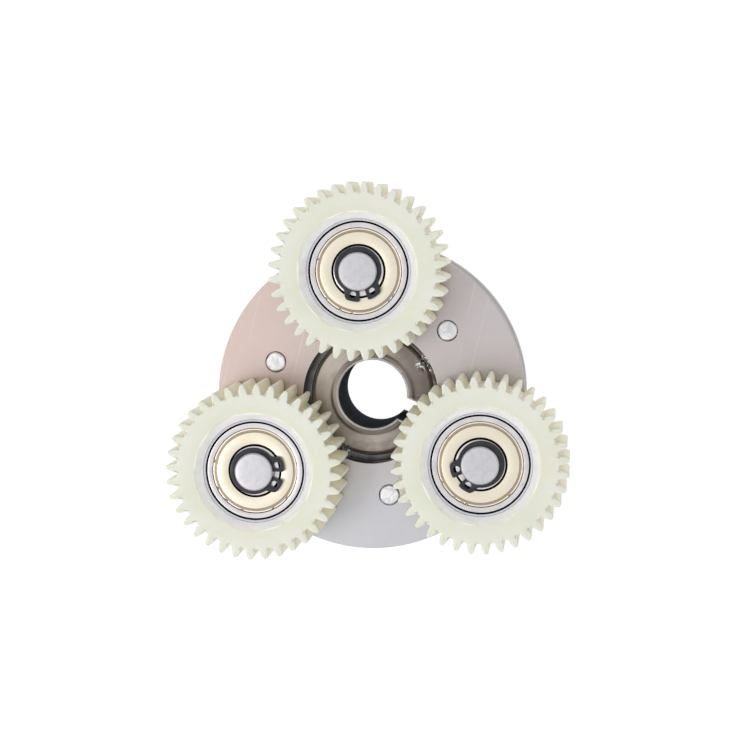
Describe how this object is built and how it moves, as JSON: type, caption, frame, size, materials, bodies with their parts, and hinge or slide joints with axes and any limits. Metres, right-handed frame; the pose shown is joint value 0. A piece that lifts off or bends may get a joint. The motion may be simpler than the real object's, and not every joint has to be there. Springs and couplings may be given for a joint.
{
  "type": "planetary gear set",
  "caption": "Planet carrier with a built-in one-way roller clutch, keyed hub and plastic spur planet gears on ball bearings.",
  "frame": {"origin": "axis of the hub's bore at the hub's back face, where the set stands", "axes": "+Z along the bore towards the planet gears, +Y from the hub's axis to the first planet"},
  "size_m": [0.0848, 0.0793, 0.0374],
  "materials": {
    "hub_steel": "turned hardened steel, warm grey, thin film of grease",
    "plate_steel": "ground steel, satin, fine scratches",
    "cam_steel": "turned steel, satin",
    "bush_steel": "dark oiled steel",
    "rivet_steel": "peened bright steel",
    "spring_steel": "bare spring strip",
    "pin_steel": "ground steel with turned end",
    "spacer_steel": "turned steel",
    "bearing_steel": "polished bearing steel",
    "shield_steel": "pressed sheet, pale champagne, satin",
    "cage_steel": "pressed strip",
    "clip_steel": "phosphated spring steel, dark graphite",
    "nylon": "natural nylon, off-white, satin"
  },
  "bodies": {
    "hub": {"hub": "hub_steel"},
    "carrier": {"front_plate": "plate_steel", "cam_ring": "cam_steel", "back_plate": "plate_steel", "front_bush": "bush_steel", "back_bush": "bush_steel", "clutch_rollers": "bearing_steel", "roller_springs": "spring_steel", "rivets": "rivet_steel", "planet_1_pin": "pin_steel", "planet_1_spacer": "spacer_steel", "planet_1_inner_ring": "bearing_steel", "planet_1_circlip": "clip_steel", "planet_2_pin": "pin_steel", "planet_2_spacer": "spacer_steel", "planet_2_inner_ring": "bearing_steel", "planet_2_circlip": "clip_steel", "planet_3_pin": "pin_steel", "planet_3_spacer": "spacer_steel", "planet_3_inner_ring": "bearing_steel", "planet_3_circlip": "clip_steel"},
    "planet_1": {"planet_1_gear": "nylon", "planet_1_outer_ring": "bearing_steel", "planet_1_front_shield": "shield_steel", "planet_1_back_shield": "shield_steel"},
    "cage_1": {"planet_1_balls": "bearing_steel", "planet_1_ball_cage": "cage_steel"},
    "planet_2": {"planet_2_gear": "nylon", "planet_2_outer_ring": "bearing_steel", "planet_2_front_shield": "shield_steel", "planet_2_back_shield": "shield_steel"},
    "cage_2": {"planet_2_balls": "bearing_steel", "planet_2_ball_cage": "cage_steel"},
    "planet_3": {"planet_3_gear": "nylon", "planet_3_outer_ring": "bearing_steel", "planet_3_front_shield": "shield_steel", "planet_3_back_shield": "shield_steel"},
    "cage_3": {"planet_3_balls": "bearing_steel", "planet_3_ball_cage": "cage_steel"}
  },
  "joints": [
    {"name": "carrier_spin", "type": "hinge", "parent": "hub", "child": "carrier", "pos_m": [0, 0, 0.0145], "axis": [0, 0, 1], "continuous": true},
    {"name": "planet_1_spin", "type": "hinge", "parent": "carrier", "child": "planet_1", "pos_m": [0, 0.0275, 0.0319], "axis": [0, 0, 1], "continuous": true},
    {"name": "cage_1_spin", "type": "hinge", "parent": "carrier", "child": "cage_1", "pos_m": [0, 0.0275, 0.0319], "axis": [0, 0, 1], "continuous": true},
    {"name": "planet_2_spin", "type": "hinge", "parent": "carrier", "child": "planet_2", "pos_m": [-0.02382, -0.01375, 0.0319], "axis": [0, 0, 1], "continuous": true},
    {"name": "cage_2_spin", "type": "hinge", "parent": "carrier", "child": "cage_2", "pos_m": [-0.02382, -0.01375, 0.0319], "axis": [0, 0, 1], "continuous": true},
    {"name": "planet_3_spin", "type": "hinge", "parent": "carrier", "child": "planet_3", "pos_m": [0.02382, -0.01375, 0.0319], "axis": [0, 0, 1], "continuous": true},
    {"name": "cage_3_spin", "type": "hinge", "parent": "carrier", "child": "cage_3", "pos_m": [0.02382, -0.01375, 0.0319], "axis": [0, 0, 1], "continuous": true}
  ],
  "couplings": [
    {"joint": "cage_1_spin", "follows": "planet_1_spin", "ratio": 0.63233},
    {"joint": "cage_2_spin", "follows": "planet_2_spin", "ratio": 0.63233},
    {"joint": "cage_3_spin", "follows": "planet_3_spin", "ratio": 0.63233}
  ]
}
